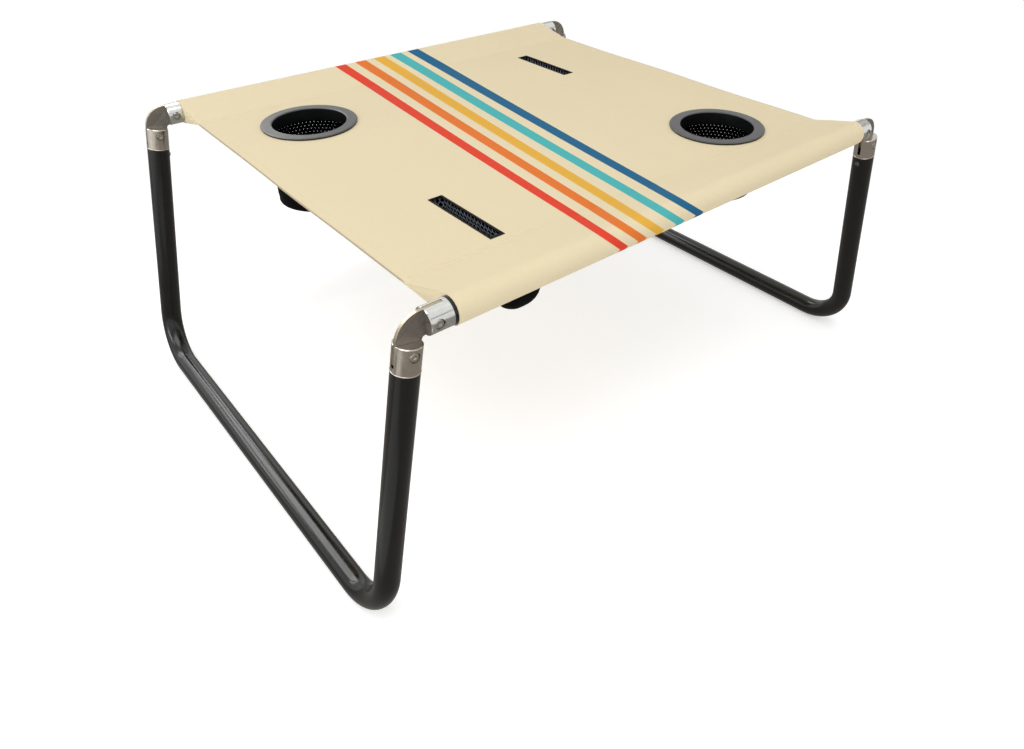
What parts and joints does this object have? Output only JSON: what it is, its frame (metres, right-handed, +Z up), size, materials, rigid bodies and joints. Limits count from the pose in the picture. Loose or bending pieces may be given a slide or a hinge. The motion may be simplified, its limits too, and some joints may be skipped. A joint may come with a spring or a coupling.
{
  "type": "folding beach table",
  "caption": "Low folding table: striped cloth top on tube rails, mesh cup holders and slot pockets, U-shaped tube legs that fold under on link plates.",
  "frame": {"origin": "on the floor, under the middle of the table top", "axes": "+X along the rails to the right, +Y to the back, +Z up"},
  "size_m": [0.7168, 0.535, 0.305],
  "materials": {
    "black_tube": "gloss black powder coat",
    "stainless_steel": "polished stainless with fine turning marks",
    "link_plate": "satin stainless",
    "grey_plastic": "satin moulded",
    "tan_cloth": "woven polyester with five printed stripes",
    "black_mesh": "open black mesh",
    "black_binding": "woven binding tape"
  },
  "bodies": {
    "top": {"front_rail": "black_tube", "back_rail": "black_tube", "front_left_rail_plug": "stainless_steel", "back_left_rail_plug": "stainless_steel", "front_right_rail_plug": "stainless_steel", "back_right_rail_plug": "stainless_steel", "rail_plug_rivets": "stainless_steel", "rail_pivot_pins": "stainless_steel", "sling": "tan_cloth", "front_sleeve": "tan_cloth", "back_sleeve": "tan_cloth", "left_cup_ring": "grey_plastic", "right_cup_ring": "grey_plastic", "left_cup_clamp_ring": "grey_plastic", "right_cup_clamp_ring": "grey_plastic", "left_cup_bag": "black_mesh", "right_cup_bag": "black_mesh", "left_slot_binding": "black_binding", "right_slot_binding": "black_binding", "left_slot_pocket": "black_mesh", "right_slot_pocket": "black_mesh"},
    "left_links": {"front_left_link": "link_plate", "back_left_link": "link_plate"},
    "right_links": {"front_right_link": "link_plate", "back_right_link": "link_plate"},
    "left_leg": {"left_leg_tube": "black_tube", "front_left_leg_plug": "stainless_steel", "back_left_leg_plug": "stainless_steel", "left_leg_pivot_pins": "stainless_steel", "left_leg_rivets": "stainless_steel"},
    "right_leg": {"right_leg_tube": "black_tube", "front_right_leg_plug": "stainless_steel", "back_right_leg_plug": "stainless_steel", "right_leg_pivot_pins": "stainless_steel", "right_leg_rivets": "stainless_steel"}
  },
  "joints": [
    {"name": "left_link_fold", "type": "hinge", "parent": "top", "child": "left_links", "pos_m": [-0.2715, 0, 0.2929], "axis": [0, -1, 0], "range_deg": [0, 50]},
    {"name": "left_leg_fold", "type": "hinge", "parent": "left_links", "child": "left_leg", "pos_m": [-0.29369, 0, 0.27477], "axis": [0, -1, 0], "range_deg": [0, 50]},
    {"name": "right_link_fold", "type": "hinge", "parent": "top", "child": "right_links", "pos_m": [0.2715, 0, 0.2929], "axis": [0, 1, 0], "range_deg": [0, 47.25]},
    {"name": "right_leg_fold", "type": "hinge", "parent": "right_links", "child": "right_leg", "pos_m": [0.29369, 0, 0.27477], "axis": [0, 1, 0], "range_deg": [0, 47.25]}
  ],
  "couplings": [
    {"joint": "left_link_fold", "follows": "left_leg_fold", "ratio": 1},
    {"joint": "right_link_fold", "follows": "right_leg_fold", "ratio": 1}
  ]
}
